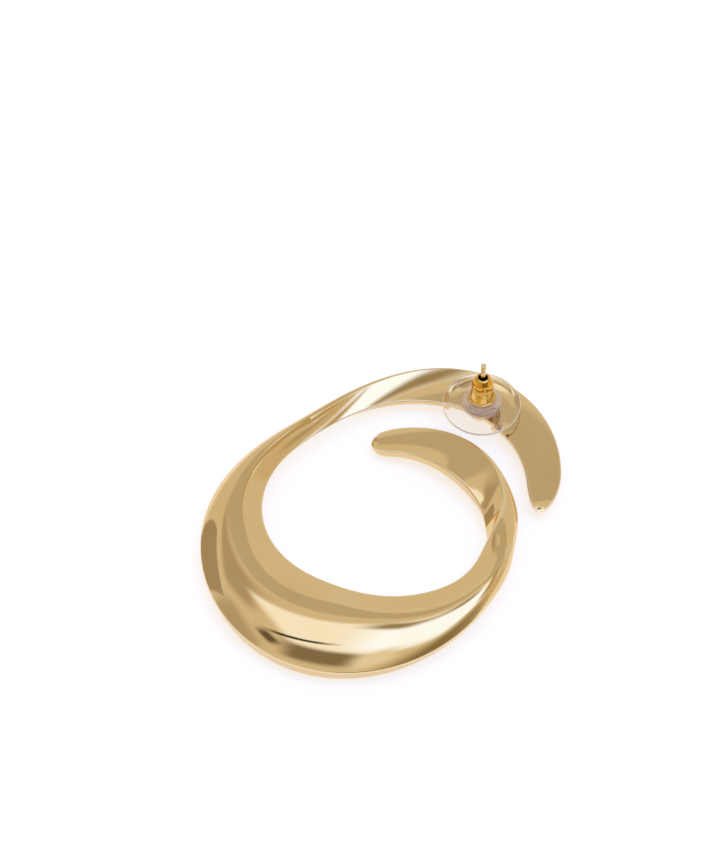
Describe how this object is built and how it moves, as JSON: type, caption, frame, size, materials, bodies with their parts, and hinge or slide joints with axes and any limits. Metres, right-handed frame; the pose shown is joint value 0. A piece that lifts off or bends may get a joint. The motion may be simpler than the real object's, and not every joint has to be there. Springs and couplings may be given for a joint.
{
  "type": "swirl stud earring",
  "caption": "Twisted metal band coiled into an open swirl, with an ear post on its back and a push-on clutch with a clear disc.",
  "frame": {"origin": "middle of the box that holds the earring, on the surface that it lies on", "axes": "+Z out of the back of the earring along the ear post; +Y from the wide crescent towards the post's side; +X towards the two ends of the band"},
  "size_m": [0.0498, 0.0516, 0.0124],
  "materials": {
    "gold_metal": "mirror-polished pale gold plating",
    "clutch_metal": "polished deeper yellow gold plating",
    "clear_plastic": "clear moulded plastic, faintly milky"
  },
  "bodies": {
    "earring": {"swirl": "gold_metal"},
    "clutch": {"clutch_bullet": "clutch_metal", "clutch_pad": "clear_plastic"}
  },
  "joints": [
    {"name": "clutch_slide", "type": "slide", "parent": "earring", "child": "clutch", "axis": [0, 0, 1], "range_m": [-0.0003, 0.012]}
  ]
}
